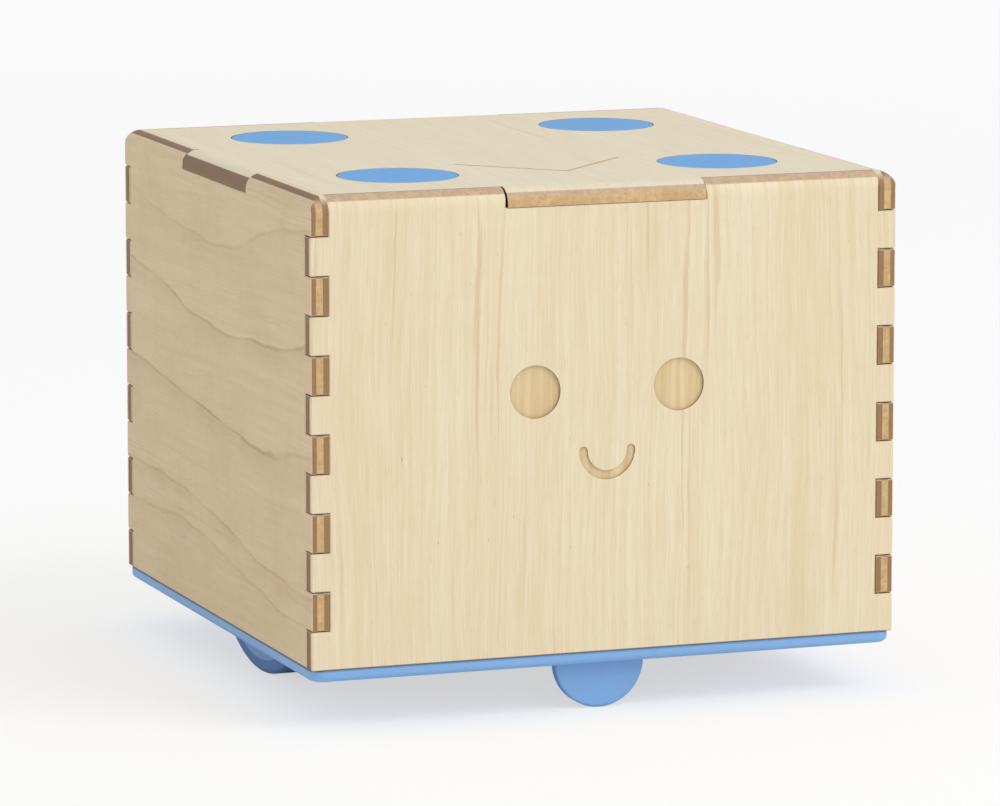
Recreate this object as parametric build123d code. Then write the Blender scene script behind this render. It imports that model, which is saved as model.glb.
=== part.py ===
from build123d import *
import os
from math import acos, atan2, cos, degrees, pi, radians, sin, tan

# A box-shaped floor robot for teaching coding: a finger-jointed plywood shell on a moulded
# base, driven by two wheels side by side, with a half-moon foot at the front and the rear.
# Millimetres. +Z is up, the face looks along -Y, +X is to the right of someone facing it.
# The origin is on the floor under the middle of the body.

# ---- Shell ---------------------------------------------------------------------------
body_width = 130.0           # outside, both ways in plan
ply = 4.0                    # plywood thickness
finger_count = 12            # box-joint segments up each vertical edge
finger_height = 8.2
finger_play = 0.08           # saw gap above and below each finger
edge_break = 0.25            # sanded edges of the panels
top_rounding = 3.5           # rounding along the four top edges
tab_width = 44.0             # lid tab on each side
tab_relief = 0.5             # extra notch width at one end of each tab

# ---- Lid and face --------------------------------------------------------------------
cap_radius = 12.9
cap_spacing = 72.0           # the four caps stand on a square of this side
cap_play = 0.08
cap_skin = 1.6               # thickness of a cap's top and skirt
cap_lip = 1.4                # how far a cap's snap lip stands out under the lid
groove_depth = 0.45          # engraved lines
chevron_tip = 41.0           # distance of the chevron's tip in front of the middle
chevron_leg = 26.0
chevron_stroke = 0.9
eye_radius = 5.6
eye_spacing = 32.0
eye_height = 55.7            # above the bottom of the wood
eye_depth = 0.6
mouth_radius = 5.3
mouth_height = 42.7
mouth_stroke = 1.9

# ---- Base ----------------------------------------------------------------------------
ground_clearance = 10.2      # floor to the underside of the base
base_thickness = 2.6
base_corner = 3.5            # corner radius in plan
base_rounding = 1.3          # rounding along the lower edge
lip_height = 4.0             # locating lip inside the walls
lip_thickness = 1.6
lip_play = 0.2
corner_block = 10.0          # side of the wooden blocks in the corners
foot_radius = 9.9
foot_thickness = 3.0
foot_rounding = 0.6
foot_pad_depth = 6.5         # depth and height of the pad that carries its pegs
foot_pad_height = 1.0
peg_spacing = 10.0
peg_back = 4.3               # from the foot's outer face to the middle of its pegs
peg_radius = 1.5
peg_head_radius = 2.3
peg_head_height = 0.9
base_screw_radius = 1.5
base_screw_head = 2.9        # radius of the countersunk head
countersink = 1.4            # its height
base_screw_socket = 0.7      # depth and radius of the drive's hole
base_screw_socket_radius = 1.3
base_screw_reach = 9.0       # how far the screw goes up into its wooden block
screw_play = 0.05

# ---- Wheels and axles ----------------------------------------------------------------
wheel_radius = 38.0          # over the tyre
tyre_thickness = 3.0
wheel_width = 8.0
wheel_outer_x = 55.5         # outer face of the wheel from the middle of the body
axle_radius = 2.5
running_gap = 0.05           # radial clearance of a turning shaft
slot_play = 2.0              # room beside the wheel in its slot
slot_half_length = 31.0
axle_flat_depth = 0.5
hub_radius = 6.0
web_thickness = 2.8
rim_thickness = 4.0
lightening_holes = 6
lightening_radius = 6.5
lightening_place = 18.5      # from the axle
wheel_screw_length = 7.0
wheel_screw_radius = 1.25

# ---- Gear train, three meshes on parallel axes ----------------------------------------
gear_module = 0.5
pressure_angle = 25.0
small_teeth = 12
middle_teeth = 42
large_teeth = 48
backlash = 0.14
gear_width = 3.5
layer_gap = 0.5
second_gear_direction = 20.0 # degrees above +Y, seen from the axle
first_gear_direction = -35.0 # from the second gear's pin
motor_direction = 80.0       # from the first gear's pin
case_wall = 1.6
case_inner_x = 30.5          # motor side of the gearbox
side_play = 0.4              # gear faces to the case
collar_play = 0.2            # gear collars to the case
pin_radius = 1.0
pin_depth = 1.1              # pin's end in the case or the cover
bush_radius = 4.0
cover_screw_radius = 0.95
cover_screw_at = [(-11.5, 49.5), (13.5, 26.4), (38.4, 41.6)]  # (y, z)
cover_ear = 3.2
mount_x = 36.5               # the gearbox's mounting screws
mount_y = (-18.5, 45.0)
mount_z = (21.5, 24.3)
mount_post_radius = 4.0
mount_screw_radius = 1.45
thread_depth = 7.0
cradle_wall = 1.6
cradle_play = 0.05
motor_radius = 10.0
motor_flat = 7.7             # half the height across the motor's flats
motor_length = 25.0
can_wall = 0.8
cradle_length = 12.0
motor_boss_radius = 3.0
motor_boss_height = 1.4
magnet_inner_radius = 7.0
armature_radius = 6.5
commutator_radius = 2.2
terminal_place = 5.0         # above and below the motor's axis

# ---- Battery box and door ------------------------------------------------------------
cell_radius = 7.1
cell_length = 49.2
cell_nub = 1.0
cell_pitch = 15.0
cell_count = 3
box_middle_y = -29.0
box_half_x = 28.0            # inside
box_half_y = 22.6            # inside
box_ceiling = 28.5
box_wall = 1.6
box_lug_x = 20.0
box_lug_y = 27.3             # from the box's middle
box_lug_radius = 2.9
box_lug_rise = (4.2, 6.6)    # above the base
box_screw_radius = 1.2
cell_middle_z = 21.0
cell_nub_radius = 2.75
spring_wire = 0.35
spring_radius = 3.2
spring_pitch = 1.25
spring_length = 3.6
contact_half = 5.0
contact_thickness = 0.5
door_thickness = 1.2
door_pad = 1.2
door_play = 0.15
door_screw_x = 36.0
door_ear = 4.0
door_rim = 2.5               # how far the door reaches past the opening
door_corner = 2.0
door_recess_play = 0.2
door_cup_height = 3.2        # screw cups in the door's ears
door_cup_floor = 2.0
door_boss_radius = 5.5
door_boss_top = 21.0
door_screw_radius = 1.25
door_screw_head = 2.3
door_screw_head_height = 1.4
grip_lines = 5
grip_pitch = 2.2

# ---- Circuit board -------------------------------------------------------------------
board_half_x = 29.0
board_half_y = 24.0
board_middle_y = -30.0
board_bottom = 33.5
board_thickness = 1.6
board_screw_x = 25.0
board_screw_y = 19.0         # from the board's middle
board_post_radius = 2.6
board_screw_radius = 1.0
connector_x = (-17.0, -6.0, 6.0, 17.0)
strand_spacing = 1.1         # half the distance between a pair of wires
wire_radius = 0.6
wire_bend = 2.5

# ---- Power switch --------------------------------------------------------------------
switch_y = 46.0
switch_travel = 4.0
switch_slot_half = 4.2
switch_slot_width = 3.6

# ---- Worked out from the above -------------------------------------------------------
half = body_width / 2
inner = half - ply
wood_bottom = ground_clearance + base_thickness
wood_top = wood_bottom + finger_count * finger_height
lid_bottom = wood_top - ply
wheel_inner_x = wheel_outer_x - wheel_width
wheel_middle_x = wheel_outer_x - wheel_width / 2
axle_end_x = wheel_outer_x - 0.5
axle_flat_z = wheel_radius + axle_radius - axle_flat_depth
axle_z = wheel_radius
small_pitch = gear_module * small_teeth / 2
middle_pitch = gear_module * middle_teeth / 2
large_pitch = gear_module * large_teeth / 2
case_floor = case_inner_x + case_wall
layer_c = (case_floor + side_play, case_floor + side_play + gear_width)
layer_b = (layer_c[1] + layer_gap, layer_c[1] + layer_gap + gear_width)
layer_a = (layer_b[1] + layer_gap, layer_b[1] + layer_gap + gear_width)
cover_x = layer_a[1] + side_play  # inner face of the gearbox cover
collar_start = case_floor + collar_play
motor_front = case_inner_x
motor_back = case_inner_x - motor_length
screw_corner = inner - corner_block / 2
box_lugs = [(x, box_middle_y + y) for x in (-box_lug_x, box_lug_x) for y in (-box_lug_y, box_lug_y)]
box_lug_z = (wood_bottom + box_lug_rise[0], wood_bottom + box_lug_rise[1])
door_recess = door_thickness + door_recess_play
door_cup_top = ground_clearance + door_cup_height
door_seat = ground_clearance + door_cup_floor
board_top = board_bottom + board_thickness
connector_y = board_middle_y + board_half_y - 4.0


def step_from(point, angle, distance):
    """A point in the (y, z) plane, at an angle in degrees above +Y."""
    return (point[0] + distance * cos(radians(angle)), point[1] + distance * sin(radians(angle)))


axle_at = (0.0, axle_z)
second_at = step_from(axle_at, second_gear_direction, large_pitch + small_pitch)
first_at = step_from(second_at, first_gear_direction, middle_pitch + small_pitch)
motor_at = step_from(first_at, motor_direction, middle_pitch + small_pitch)


# ---- Small helpers -------------------------------------------------------------------
def span(x, y, z):
    """A box between three pairs of limits."""
    middle = [(pair[0] + pair[1]) / 2 for pair in (x, y, z)]
    size = [abs(pair[1] - pair[0]) for pair in (x, y, z)]
    return Pos(*middle) * Box(*size)


def post(radius, x, y, z):
    """An upright cylinder between two heights."""
    return Pos(x, y, (z[0] + z[1]) / 2) * Cylinder(radius, abs(z[1] - z[0]))


def rod(radius, x, at):
    """A cylinder along X between two x values, centred on a (y, z) point."""
    return Pos((x[0] + x[1]) / 2, at[0], at[1]) * Rot(0, 90, 0) * Cylinder(radius, abs(x[1] - x[0]))


def side_plate(sketch, x):
    """A sketch drawn in (y, z), given a thickness along X."""
    low, high = min(x), max(x)
    return extrude(Plane.YZ.offset(low) * sketch, high - low)


def disc_at(point, radius):
    return Pos(*point) * Circle(radius)


def mirrored(part):
    """The same part on the other side of the body."""
    return mirror(part, Plane.YZ)


def write(name, *solids):
    """One file per piece, or per group of like pieces."""
    group = []
    for item in solids:
        group += item.solids()
    shape = group[0] if len(group) == 1 else Compound(children=group)
    shape.label = name
    export_step(shape, f"parts/{name}.step")


# ---- Shell panels --------------------------------------------------------------------
def shell_envelope():
    """The outside of the wooden shell, rounded along its four top edges."""
    block = span((-half, half), (-half, half), (wood_bottom, wood_top))
    return fillet(block.faces().sort_by(Axis.Z)[-1].edges(), top_rounding)


def wall_panel(first_finger):
    """A wall facing -Y. first_finger is 0 or 1: the lowest segment that this wall fills."""
    wall = span((-inner, inner), (-half, -inner), (wood_bottom, wood_top))
    for segment in range(first_finger, finger_count, 2):
        low = wood_bottom + segment * finger_height
        low += finger_play if segment > 0 else 0
        high = wood_bottom + (segment + 1) * finger_height
        high -= finger_play if segment < finger_count - 1 else 0
        wall += span((-half, half), (-half, -inner), (low, high))
    notch_left = -tab_width / 2 - tab_relief
    wall -= span((notch_left, tab_width / 2 + finger_play), (-half, -inner), (lid_bottom, wood_top))
    outside = [e for e in wall.edges() if abs(e.center().Y + half) < 0.01]
    ends = [e for e in wall.edges() if abs(abs(e.center().X) - half) < 0.01]
    return chamfer(ShapeList(set(outside + ends)), edge_break)


def face_engraving():
    """Two round eyes and a half-circle mouth, cut into the front wall."""
    eye_z = wood_bottom + eye_height
    mouth = SlotArc(CenterArc((0, 0), mouth_radius, 180, 180), mouth_stroke)
    front = Plane((0, -half, wood_bottom + mouth_height), x_dir=(1, 0, 0), z_dir=(0, -1, 0))
    cut = extrude(front * mouth, -groove_depth)
    for side in (-1, 1):
        eye = Pos(side * eye_spacing / 2, -half, eye_z) * Rot(90, 0, 0)
        cut += eye * Cylinder(eye_radius, 2 * eye_depth)
    return cut


def cap_places():
    offset = cap_spacing / 2
    return [(x, y) for x in (-offset, offset) for y in (-offset, offset)]


def lid_panel():
    """The lid lies between the walls, with a tab into each wall's notch."""
    lid = span((-inner, inner), (-inner, inner), (lid_bottom, wood_top))
    tab = span((-tab_width / 2, tab_width / 2), (-half, 0), (lid_bottom, wood_top))
    for turn in range(4):
        lid += Rot(0, 0, 90 * turn) * tab
    for x, y in cap_places():
        lid -= post(cap_radius, x, y, (lid_bottom, wood_top))
    for side in (-1, 1):
        leg = Pos(chevron_leg / 2, 0) * SlotOverall(chevron_leg + chevron_stroke, chevron_stroke)
        groove = extrude(Rot(0, 0, 90 - 45 * side) * leg, groove_depth)
        lid -= Pos(0, -chevron_tip, wood_top - groove_depth) * groove
    return lid


def lid_cap(x, y):
    """A hollow plug, flush with the lid, that snaps under it."""
    outer = cap_radius - cap_play
    cap = post(outer, x, y, (lid_bottom, wood_top))
    cap += post(cap_radius + cap_lip - cap_skin, x, y, (lid_bottom - cap_lip, lid_bottom))
    cap -= post(outer - cap_skin, x, y, (lid_bottom - cap_lip, wood_top - cap_skin))
    rim = cap.faces().filter_by(Axis.Z).sort_by(Axis.Z)[-1].edges()
    return chamfer(rim, edge_break)


def wooden_block(x, y):
    """Stiffens a corner of the shell and takes one base screw."""
    block = Pos(x, y, (wood_bottom + lid_bottom) / 2)
    block *= Box(corner_block, corner_block, lid_bottom - wood_bottom)
    return block - post(base_screw_radius, x, y, (wood_bottom, wood_bottom + base_screw_reach))


# ---- Base ----------------------------------------------------------------------------
def base_screw(x, y):
    """Countersunk, flush with the underside, screwed up into a corner block."""
    low = ground_clearance
    head = Cone(base_screw_head, base_screw_radius, countersink)
    head = Pos(x, y, low + countersink / 2) * head
    shank = post(base_screw_radius, x, y, (low + countersink, wood_bottom + base_screw_reach))
    drive = post(base_screw_socket_radius, x, y, (low, low + base_screw_socket))
    return head + shank - drive


def foot(front):
    """A half-moon skid on a low pad, with two staked pegs through the base."""
    top = ground_clearance
    at = Plane((0, -inner + foot_thickness, foot_radius), x_dir=(1, 0, 0), z_dir=(0, -1, 0))
    outline = Circle(foot_radius) & Pos(0, -foot_radius / 2) * Rectangle(2 * foot_radius, foot_radius)
    outline += Pos(0, (top - foot_radius) / 2) * Rectangle(2 * foot_radius, top - foot_radius)
    skid = extrude(at * outline, foot_thickness)
    rounded = skid.faces().sort_by(Axis.Z)[0].edges()
    skid = fillet([e for e in rounded if e.geom_type == GeomType.CIRCLE], foot_rounding)
    pad_bottom = top - foot_pad_height
    pad_half = peg_spacing / 2 + peg_head_radius
    skid += span((-pad_half, pad_half), (-inner, -inner + foot_pad_depth), (pad_bottom, top))
    head_top = wood_bottom + peg_head_height
    for x in (-peg_spacing / 2, peg_spacing / 2):
        skid += post(peg_radius, x, -inner + peg_back, (pad_bottom, head_top))
        skid += post(peg_head_radius, x, -inner + peg_back, (wood_bottom, head_top))
    return skid if front else Rot(0, 0, 180) * skid


def door_outline(grow):
    """Plan of the battery door: a rounded plate with an ear at each side for its screw."""
    reach = door_rim + grow
    corner = door_corner + grow
    plate = RectangleRounded(2 * (box_half_x + reach), 2 * (box_half_y + reach), corner)
    ears = SlotCenterToCenter(2 * door_screw_x, 2 * (door_ear + grow))
    return Pos(0, box_middle_y) * (plate + ears)


def base_plate():
    """The moulded floor under the walls, with its lip, posts, bosses and openings."""
    low, high = ground_clearance, wood_bottom
    outline = RectangleRounded(body_width, body_width, base_corner)
    plate = extrude(Pos(0, 0, low) * outline, base_thickness)
    plate = fillet(plate.faces().sort_by(Axis.Z)[0].edges(), base_rounding)
    plate = chamfer(plate.faces().sort_by(Axis.Z)[-1].edges(), edge_break)
    lip_out = inner - lip_play
    lip_run = inner - corner_block - 1
    for turn in range(4):
        lip = span((-lip_run, lip_run), (-lip_out, -lip_out + lip_thickness), (high, high + lip_height))
        plate += Rot(0, 0, 90 * turn) * lip
    for x, y in box_lugs:
        plate += post(box_lug_radius, x, y, (high, box_lug_z[0]))
        plate -= post(box_screw_radius, x, y, (high - 1, box_lug_z[0]))
    for side in (-1, 1):
        for y in mount_y:
            plate += post(mount_post_radius, side * mount_x, y, (high, mount_z[0]))
            hole = (mount_z[0] - thread_depth, mount_z[0])
            plate -= post(mount_screw_radius, side * mount_x, y, hole)
        x = side * door_screw_x
        plate += post(door_boss_radius, x, box_middle_y, (high, door_boss_top))
        cup_z = (low, door_cup_top + door_recess_play)
        plate -= post(door_ear + door_play, x, box_middle_y, cup_z)
        plate -= post(door_screw_radius + screw_play, x, box_middle_y, (low, door_boss_top - 1))
        slot = SlotOverall(2 * slot_half_length, wheel_width + 2 * slot_play, rotation=90)
        plate -= extrude(Pos(side * wheel_middle_x, 0, low) * slot, base_thickness)
        for x in (-peg_spacing / 2, peg_spacing / 2):
            plate -= post(peg_radius, x, side * (inner - peg_back), (low, high))
        for y in (-screw_corner, screw_corner):
            hole = base_screw_radius + screw_play
            sink = Cone(base_screw_head + screw_play, hole, countersink)
            plate -= Pos(side * screw_corner, y, low + countersink / 2) * sink
            plate -= post(hole, side * screw_corner, y, (low, high))
    opening_x = (-box_half_x, box_half_x)
    opening_y = (box_middle_y - box_half_y, box_middle_y + box_half_y)
    plate -= span(opening_x, opening_y, (low, high))
    plate -= extrude(Pos(0, 0, low) * door_outline(door_play), door_recess)
    plate -= extrude(Pos(0, switch_y, low) * SlotOverall(22, 11), 1.0)
    window_y = (switch_y - switch_slot_width / 2, switch_y + switch_slot_width / 2)
    plate -= span((-switch_slot_half, switch_slot_half), window_y, (low, high))
    return plate


def battery_door():
    """A flush plate with a pad that keeps the cells in, held by a screw in each ear."""
    low = ground_clearance
    door = extrude(Pos(0, 0, low) * door_outline(0), door_thickness)
    pad_x = box_half_x - 0.4
    pad_y = box_half_y - 0.4
    pad = RectangleRounded(2 * pad_x, 2 * pad_y, 2)
    door += extrude(Pos(0, box_middle_y, low + door_thickness) * pad, door_pad)
    for side in (-1, 1):
        x = side * door_screw_x
        door += post(door_ear, x, box_middle_y, (low, door_cup_top))
        door -= post(door_screw_head + 0.3, x, box_middle_y, (low, door_seat))
        door -= post(door_screw_radius + 0.15, x, box_middle_y, (low, door_cup_top))
    for row in range(grip_lines):
        y = box_middle_y + box_half_y - 4 - grip_pitch * row
        door -= Pos(0, y, low) * Box(18, 1.0, 1.0)
    return door


def door_screw(side):
    x = side * door_screw_x
    head_low = door_seat - door_screw_head_height
    head = post(door_screw_head, x, box_middle_y, (head_low, door_seat))
    head = chamfer(head.faces().sort_by(Axis.Z)[0].edges(), 0.4)
    slot = Pos(x, box_middle_y, head_low) * Box(0.7, 2 * door_screw_head, 1.2)
    shank = post(door_screw_radius, x, box_middle_y, (door_seat, door_boss_top - 2))
    return head + shank - slot


# ---- Batteries -----------------------------------------------------------------------
def battery_box():
    """An open-bottomed tub over the opening in the base, with bosses for the board on top."""
    low = wood_bottom
    high = box_ceiling + box_wall
    out_x, out_y = box_half_x + box_wall, box_half_y + box_wall
    tub = span((-out_x, out_x), (box_middle_y - out_y, box_middle_y + out_y), (low, high))
    inside_y = (box_middle_y - box_half_y, box_middle_y + box_half_y)
    tub -= span((-box_half_x, box_half_x), inside_y, (low, box_ceiling))
    for x, y in box_lugs:
        toward = box_middle_y + out_y if y > box_middle_y else box_middle_y - out_y
        tub += post(box_lug_radius, x, y, box_lug_z)
        tub += span((x - box_lug_radius, x + box_lug_radius), (y, toward), box_lug_z)
        tub -= post(box_screw_radius + 0.2, x, y, box_lug_z)
    for x, y in board_screw_places():
        tub += post(board_post_radius, x, y, (high, board_bottom))
        tub -= post(board_screw_radius, x, y, (high - 0.8, board_bottom))
    return tub


def cell(index):
    """A round cell with its nub on the positive end; neighbours lie head to tail."""
    y = box_middle_y + (index - 1) * cell_pitch
    way = 1 if index % 2 == 0 else -1
    nub_end = box_half_x - 0.6
    body = rod(cell_radius, (nub_end - cell_nub - cell_length, nub_end - cell_nub), (0, 0))
    body = fillet(body.edges(), 0.6)
    body += rod(cell_nub_radius, (nub_end - cell_nub, nub_end), (0, 0))
    body = body if way > 0 else mirrored(body)
    return Pos(0, y, cell_middle_z) * body


def cell_spring(index):
    """A coil that presses a cell's flat end."""
    y = box_middle_y + (index - 1) * cell_pitch
    way = 1 if index % 2 == 0 else -1
    coil = Helix(spring_pitch, spring_length, spring_radius)
    spring = sweep(Plane(coil @ 0, z_dir=coil % 0) * Circle(spring_wire), coil)
    start = box_half_x - contact_thickness - spring_wire
    place = Pos(-way * start, y, cell_middle_z) * Rot(0, 90 * way, 0)
    return place * spring


def contact_plate(index, way):
    y = box_middle_y + (index - 1) * cell_pitch
    x = way * box_half_x
    plate_z = (cell_middle_z - contact_half, cell_middle_z + contact_half)
    plate = span((x - way * contact_thickness, x), (y - contact_half, y + contact_half), plate_z)
    return fillet(plate.edges().filter_by(Axis.X), 1.0)


def box_screw(x, y):
    return pan_screw(Plane((x, y, box_lug_z[1])), box_screw_radius, 2.2, 1.5, 6.0)


def pan_screw(seat, radius, head_radius, head_height, length):
    """A screw standing on a seat plane, its head along the plane's +Z."""
    head = Pos(0, 0, head_height / 2) * Cylinder(head_radius, head_height)
    head = fillet(head.faces().sort_by(Axis.Z)[-1].edges(), head_height * 0.45)
    slot = Pos(0, 0, head_height) * Box(0.6, 2.2 * head_radius, head_height)
    shank = Pos(0, 0, -length / 2) * Cylinder(radius, length)
    return seat * (head + shank - slot)


# ---- Gears ---------------------------------------------------------------------------
def gear_sketch(teeth, phase):
    """An involute spur gear. phase is the angle in degrees of one tooth's middle."""
    pitch_radius = gear_module * teeth / 2
    base_radius = pitch_radius * cos(radians(pressure_angle))
    tip_radius = pitch_radius + 0.9 * gear_module
    root_radius = pitch_radius - 1.2 * gear_module
    start_radius = max(base_radius, root_radius)

    def roll(radius):
        """Angle that the involute has turned by at this radius."""
        lean = acos(min(1.0, base_radius / radius))
        return tan(lean) - lean

    half_tooth = pi / (2 * teeth) - backlash / (4 * pitch_radius) + roll(pitch_radius)
    points = []
    for tooth in range(teeth):
        middle = radians(phase) + 2 * pi * tooth / teeth
        flank = []
        for part in range(4):
            radius = start_radius + (tip_radius - start_radius) * part / 3
            flank.append((radius, half_tooth - roll(radius)))
        root_angle = flank[0][1]
        outline = [(root_radius, -root_angle)] if start_radius > root_radius else []
        outline += [(radius, -angle) for radius, angle in flank]
        outline += [(radius, angle) for radius, angle in reversed(flank)]
        outline += [(root_radius, root_angle)] if start_radius > root_radius else []
        points += [(r * cos(middle + a), r * sin(middle + a)) for r, a in outline]
    return Polygon(*points, align=None)


def heading(start, end):
    """Direction in degrees above +Y from one axis to another."""
    return degrees(atan2(end[1] - start[1], end[0] - start[0]))


def gear(teeth, at, x, tooth_toward=None, gap_toward=None):
    """A spur gear with a tooth, or a gap, turned towards another axis."""
    if tooth_toward is not None:
        phase = heading(at, tooth_toward)
    else:
        phase = heading(at, gap_toward) + 180 / teeth
    return side_plate(Pos(*at) * gear_sketch(teeth, phase), x)


def motor_pinion():
    blank = gear(small_teeth, motor_at, layer_c, tooth_toward=first_at)
    return blank - rod(pin_radius, layer_c, motor_at)


def first_gear():
    """Compound: driven by the motor pinion, drives the second gear."""
    wheel = gear(middle_teeth, first_at, layer_c, gap_toward=motor_at)
    wheel += gear(small_teeth, first_at, (layer_c[1], layer_b[1]), tooth_toward=second_at)
    wheel += rod(2.0, (layer_b[1], cover_x - collar_play), first_at)
    wheel += rod(2.4, (collar_start, layer_c[0]), first_at)
    return wheel - rod(pin_radius + running_gap, (case_inner_x, cover_x), first_at)


def second_gear():
    """Compound: driven by the first gear, drives the output gear."""
    wheel = gear(middle_teeth, second_at, layer_b, gap_toward=first_at)
    wheel += gear(small_teeth, second_at, (layer_b[1], layer_a[1]), tooth_toward=axle_at)
    wheel += rod(2.0, (layer_a[1], cover_x - collar_play), second_at)
    wheel += rod(1.9, (collar_start, layer_b[0]), second_at)
    return wheel - rod(pin_radius + running_gap, (case_inner_x, cover_x), second_at)


def output_gear():
    wheel = gear(large_teeth, axle_at, layer_a, gap_toward=second_at)
    wheel += rod(3.5, (collar_start, layer_a[0]), axle_at)
    return wheel - rod(axle_radius, (case_inner_x, cover_x), axle_at)


# ---- Gearbox -------------------------------------------------------------------------
def gearbox_outline(shrink):
    """Convex outline round the gears, in (y, z)."""
    rounds = [
        (axle_at, large_pitch + 2.6),
        (second_at, middle_pitch + 2.5),
        (first_at, middle_pitch + 2.5),
        (motor_at, small_pitch + 2.5),
    ]
    edges = []
    for at, radius in rounds:
        edges += disc_at(at, radius - shrink).edges()
    return make_hull(edges)


def motor_outline(grow):
    """The motor's section: a circle with two flats, in (y, z) about the motor's axis."""
    flats = Rectangle(3 * motor_radius, 2 * (motor_flat + grow))
    return Pos(*motor_at) * (Circle(motor_radius + grow) & flats)


def gearbox_case():
    """Tray for the gears on the motor side, with the motor's cradle and a mounting foot."""
    floor = case_floor
    case = side_plate(gearbox_outline(0), (case_inner_x, cover_x))
    for at in cover_screw_at:
        case += rod(cover_ear, (case_inner_x, cover_x), at)
    cavity = side_plate(gearbox_outline(case_wall), (floor, cover_x))
    inside_post = rod(2.6, (floor, cover_x), cover_screw_at[1])
    case -= cavity - inside_post
    foot_x = (case_inner_x + 0.3, mount_x + 5.2)
    foot_y = (mount_y[0] - 4, mount_y[1] + 4)
    lug = span(foot_x, foot_y, mount_z)
    lug = fillet(lug.edges().filter_by(Axis.Z), 2.0)
    case += lug - side_plate(gearbox_outline(case_wall), (floor, cover_x))
    case += side_plate(motor_outline(cradle_wall), (case_inner_x - cradle_length, case_inner_x))
    case -= side_plate(motor_outline(cradle_play), (case_inner_x - cradle_length, case_inner_x))
    case += rod(4.5, (case_inner_x - 2.0, case_inner_x), axle_at)
    case -= rod(axle_radius + running_gap, (case_inner_x - 2.0, floor), axle_at)
    case -= rod(motor_boss_radius, (case_inner_x, floor), motor_at)
    for at in (first_at, second_at):
        case -= rod(pin_radius, (floor - pin_depth, floor), at)
    for at in cover_screw_at:
        case -= rod(cover_screw_radius, (cover_x - thread_depth, cover_x), at)
    for y in mount_y:
        case -= post(mount_screw_radius + 0.15, mount_x, y, mount_z)
    return case


def gearbox_cover():
    outside = cover_x + case_wall
    cover = side_plate(gearbox_outline(0), (cover_x, outside))
    for at in cover_screw_at:
        cover += rod(cover_ear, (cover_x, outside), at)
        cover -= rod(cover_screw_radius + 0.15, (cover_x, outside), at)
    cover -= rod(bush_radius, (cover_x, outside), axle_at)
    for at in (first_at, second_at):
        cover -= rod(pin_radius, (cover_x, cover_x + pin_depth), at)
    return cover


def axle_bush():
    bush = rod(bush_radius, (cover_x - collar_play, cover_x + case_wall + 0.6), axle_at)
    return bush - rod(axle_radius + running_gap, (cover_x - 1, wheel_inner_x), axle_at)


def gear_pin(at):
    return rod(pin_radius, (case_floor - pin_depth, cover_x + pin_depth), at)


def cover_screw(at):
    seat = Plane((cover_x + case_wall, at[0], at[1]), x_dir=(0, 1, 0), z_dir=(1, 0, 0))
    return pan_screw(seat, cover_screw_radius, 1.8, 1.1, case_wall + 6.0)


def mount_screw(y):
    return pan_screw(Plane((mount_x, y, mount_z[1])), mount_screw_radius, 2.7, 2.0, 8.5)


# ---- Motor ---------------------------------------------------------------------------
def motor_can():
    """A drawn steel can, closed at the front round the shaft's boss."""
    can = side_plate(motor_outline(0), (motor_back, motor_front))
    hollow = (motor_back, motor_front - can_wall)
    can -= side_plate(motor_outline(-can_wall), hollow)
    can += rod(motor_boss_radius, (motor_front, motor_front + motor_boss_height), motor_at)
    return can - rod(pin_radius + running_gap, (motor_front - 2, motor_front + 2), motor_at)


def motor_magnets():
    """Two curved magnets on the round sides of the can."""
    reach = (motor_back + 6, motor_front - 3)
    ring = side_plate(motor_outline(-can_wall), reach)
    ring -= rod(magnet_inner_radius, reach, motor_at)
    keep = Pos((reach[0] + reach[1]) / 2, *motor_at) * Box(20, 40, 9)
    return ring & keep


def motor_end_cap():
    """Closes the can behind, with the shaft's rear bearing and two terminals."""
    cap = side_plate(motor_outline(0), (motor_back - 1.0, motor_back))
    cap += side_plate(motor_outline(-can_wall), (motor_back, motor_back + 2.5))
    cap += rod(2.6, (motor_back - 2.0, motor_back - 1.0), motor_at)
    cap -= rod(pin_radius + running_gap, (motor_back - 1.0, motor_back + 2.5), motor_at)
    for side in (-1, 1):
        terminal_z = motor_at[1] + side * terminal_place
        cap += Pos(motor_back - 1.6, motor_at[0], terminal_z) * Box(1.2, 2.0, 0.5)
    return cap


def motor_rotor():
    """Shaft, three-pole armature and commutator."""
    x = (motor_back + 7, motor_front - 4)
    armature = rod(armature_radius, x, motor_at)
    for pole in range(3):
        gap = Pos((x[0] + x[1]) / 2, 0, 5.5) * Box(x[1] - x[0], 1.6, 4)
        armature -= Pos(0, *motor_at) * Rot(120 * pole, 0, 0) * gap
    commutator = rod(commutator_radius, (motor_back + 3, x[0]), motor_at)
    shaft = rod(pin_radius, (motor_back - 0.8, layer_c[1]), motor_at)
    return armature + commutator + shaft


# ---- Wheels --------------------------------------------------------------------------
def axle_flat():
    """What the flat takes off the axle, where the wheel sits."""
    reach = axle_radius + 1
    return span((wheel_inner_x + 0.4, wheel_outer_x), (-reach, reach), (axle_flat_z, axle_z + reach))


def axle():
    shaft = rod(axle_radius, (case_inner_x - 1.8, axle_end_x), axle_at) - axle_flat()
    thread = (axle_end_x - wheel_screw_length, wheel_outer_x)
    return shaft - rod(wheel_screw_radius, thread, axle_at)


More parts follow.
